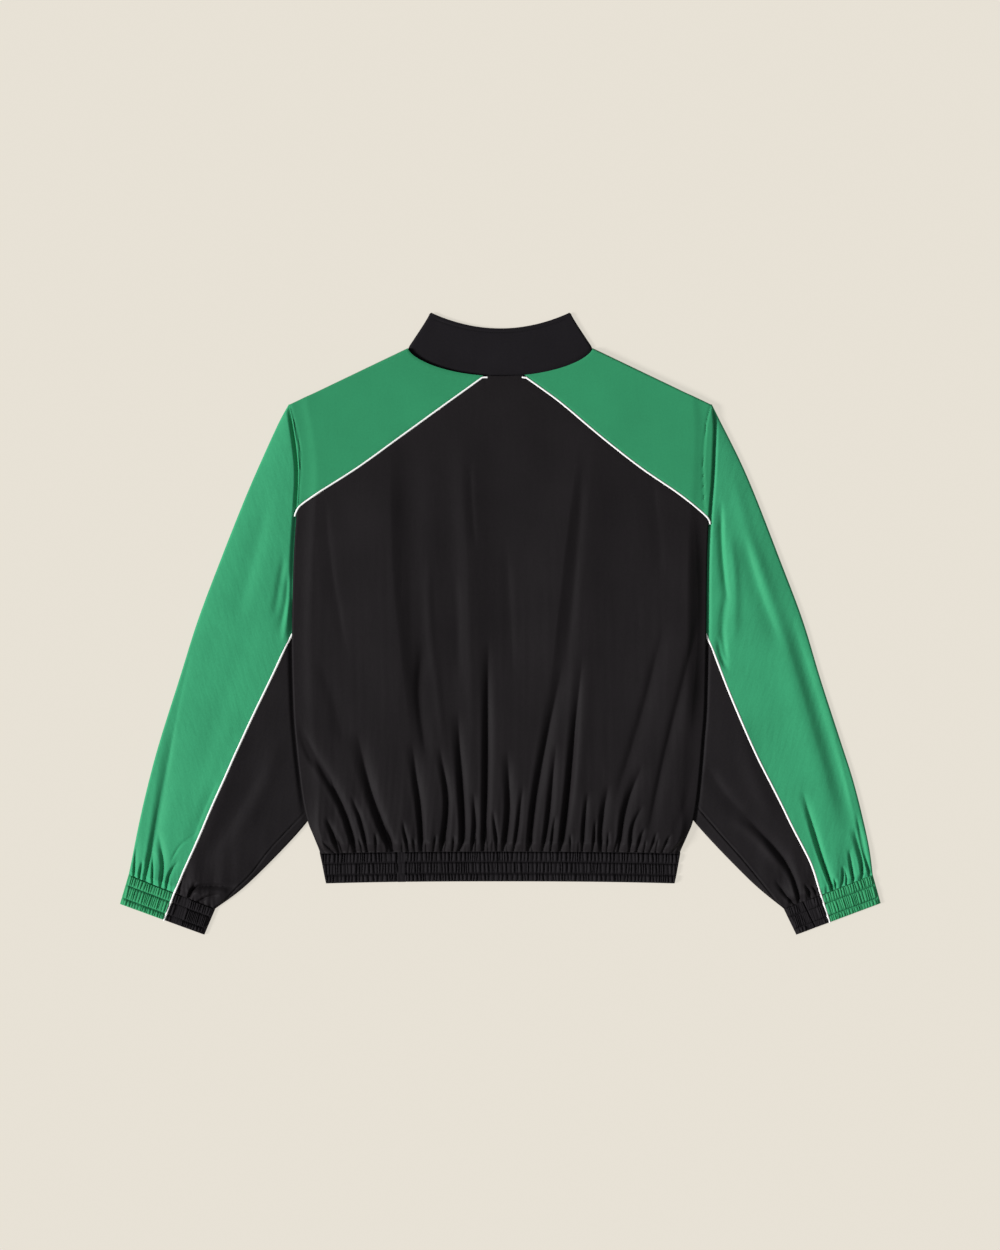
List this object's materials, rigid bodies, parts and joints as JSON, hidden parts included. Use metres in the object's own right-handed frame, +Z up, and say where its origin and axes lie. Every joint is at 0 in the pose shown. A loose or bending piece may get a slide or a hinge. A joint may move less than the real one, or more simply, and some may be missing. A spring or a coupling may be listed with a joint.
{
  "type": "pullover training jacket laid flat",
  "caption": "Pullover jacket with stand collar, contrast shoulder yokes and sleeves, piped seams and elastic cuffs and waistband, laid flat on its front.",
  "frame": {"origin": "middle of the bounding box in plan, on the surface that the jacket lies on", "axes": "+Y from the waistband to the collar, +Z up out of the jacket's back, +X to the right as seen from above"},
  "size_m": [0.964, 0.788, 0.0098],
  "materials": {
    "green_cloth": "fine plain-woven crisp polyester, low sheen",
    "black_cloth": "fine plain-woven crisp polyester, low sheen",
    "collar_black": "plain-woven polyester over a firm interlining, matt",
    "cuff_green": "woven polyester shirred over elastic, fine ribs",
    "cuff_black": "woven polyester shirred over elastic, fine ribs",
    "waistband_black": "woven polyester shirred over elastic, fine ribs",
    "piping_white": "corded white piping, satin"
  },
  "bodies": {
    "root": {"front_body": "black_cloth", "back_body": "black_cloth", "front_yoke_left": "green_cloth", "front_yoke_right": "green_cloth", "back_yoke_left": "green_cloth", "back_yoke_right": "green_cloth", "piping_front_left": "piping_white", "piping_front_right": "piping_white", "piping_back_left": "piping_white", "piping_back_right": "piping_white", "sleeve_left_green": "green_cloth", "sleeve_right_green": "green_cloth", "sleeve_left_black": "black_cloth", "sleeve_right_black": "black_cloth", "sleeve_piping_left_back": "piping_white", "sleeve_piping_left_front": "piping_white", "sleeve_piping_right_back": "piping_white", "sleeve_piping_right_front": "piping_white", "cuff_left_green": "cuff_green", "cuff_right_green": "cuff_green", "cuff_left_black": "cuff_black", "cuff_right_black": "cuff_black", "waistband_front": "waistband_black", "waistband_back": "waistband_black", "collar": "collar_black"}
  },
  "joints": []
}
